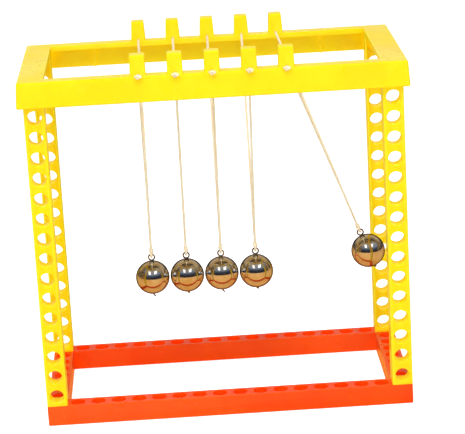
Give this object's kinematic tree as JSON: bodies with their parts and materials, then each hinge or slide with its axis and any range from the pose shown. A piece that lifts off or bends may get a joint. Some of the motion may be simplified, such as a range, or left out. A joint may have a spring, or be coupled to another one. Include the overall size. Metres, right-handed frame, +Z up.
{
  "type": "newtons cradle",
  "caption": "Newton's cradle: a row of polished steel balls on V-shaped cords, hung from a toothed plastic cap on perforated posts and base.",
  "frame": {"origin": "centre of the base's underside, on the surface the toy stands on", "axes": "+Z up, +X along the row of balls towards the raised ball, -Y the front"},
  "size_m": [0.1862, 0.0992, 0.1827],
  "materials": {
    "yellow_plastic": "smooth glossy moulded",
    "orange_plastic": "smooth glossy moulded",
    "polished_steel": "mirror polished",
    "wire": "drawn steel wire",
    "cord": "twisted cream cord"
  },
  "bodies": {
    "root": {"base_frame": "orange_plastic", "post_front_left": "yellow_plastic", "post_front_right": "yellow_plastic", "post_rear_left": "yellow_plastic", "post_rear_right": "yellow_plastic", "top_cap": "yellow_plastic", "string_end_front_1": "cord", "string_end_rear_1": "cord", "string_end_front_2": "cord", "string_end_rear_2": "cord", "string_end_front_3": "cord", "string_end_rear_3": "cord", "string_end_front_4": "cord", "string_end_rear_4": "cord", "string_end_front_5": "cord", "string_end_rear_5": "cord"},
    "pendulum_1": {"string_1": "cord", "eye_pin_1": "wire", "ball_1": "polished_steel"},
    "pendulum_2": {"string_2": "cord", "eye_pin_2": "wire", "ball_2": "polished_steel"},
    "pendulum_3": {"string_3": "cord", "eye_pin_3": "wire", "ball_3": "polished_steel"},
    "pendulum_4": {"string_4": "cord", "eye_pin_4": "wire", "ball_4": "polished_steel"},
    "pendulum_5": {"string_5": "cord", "eye_pin_5": "wire", "ball_5": "polished_steel"}
  },
  "joints": [
    {"name": "swing_1", "type": "hinge", "parent": "root", "child": "pendulum_1", "pos_m": [-0.035, 0, 0.1733], "axis": [0, -1, 0], "range_deg": [-50, 0.12]},
    {"name": "swing_2", "type": "hinge", "parent": "root", "child": "pendulum_2", "pos_m": [-0.0175, 0, 0.1733], "axis": [0, -1, 0], "range_deg": [-0.12, 0.12]},
    {"name": "swing_3", "type": "hinge", "parent": "root", "child": "pendulum_3", "pos_m": [0, 0, 0.1733], "axis": [0, -1, 0], "range_deg": [-0.12, 0.12]},
    {"name": "swing_4", "type": "hinge", "parent": "root", "child": "pendulum_4", "pos_m": [0.0175, 0, 0.1733], "axis": [0, -1, 0], "range_deg": [-0.12, 20]},
    {"name": "swing_5", "type": "hinge", "parent": "root", "child": "pendulum_5", "pos_m": [0.035, 0, 0.1733], "axis": [0, -1, 0], "range_deg": [-20.25, 29.75]}
  ]
}
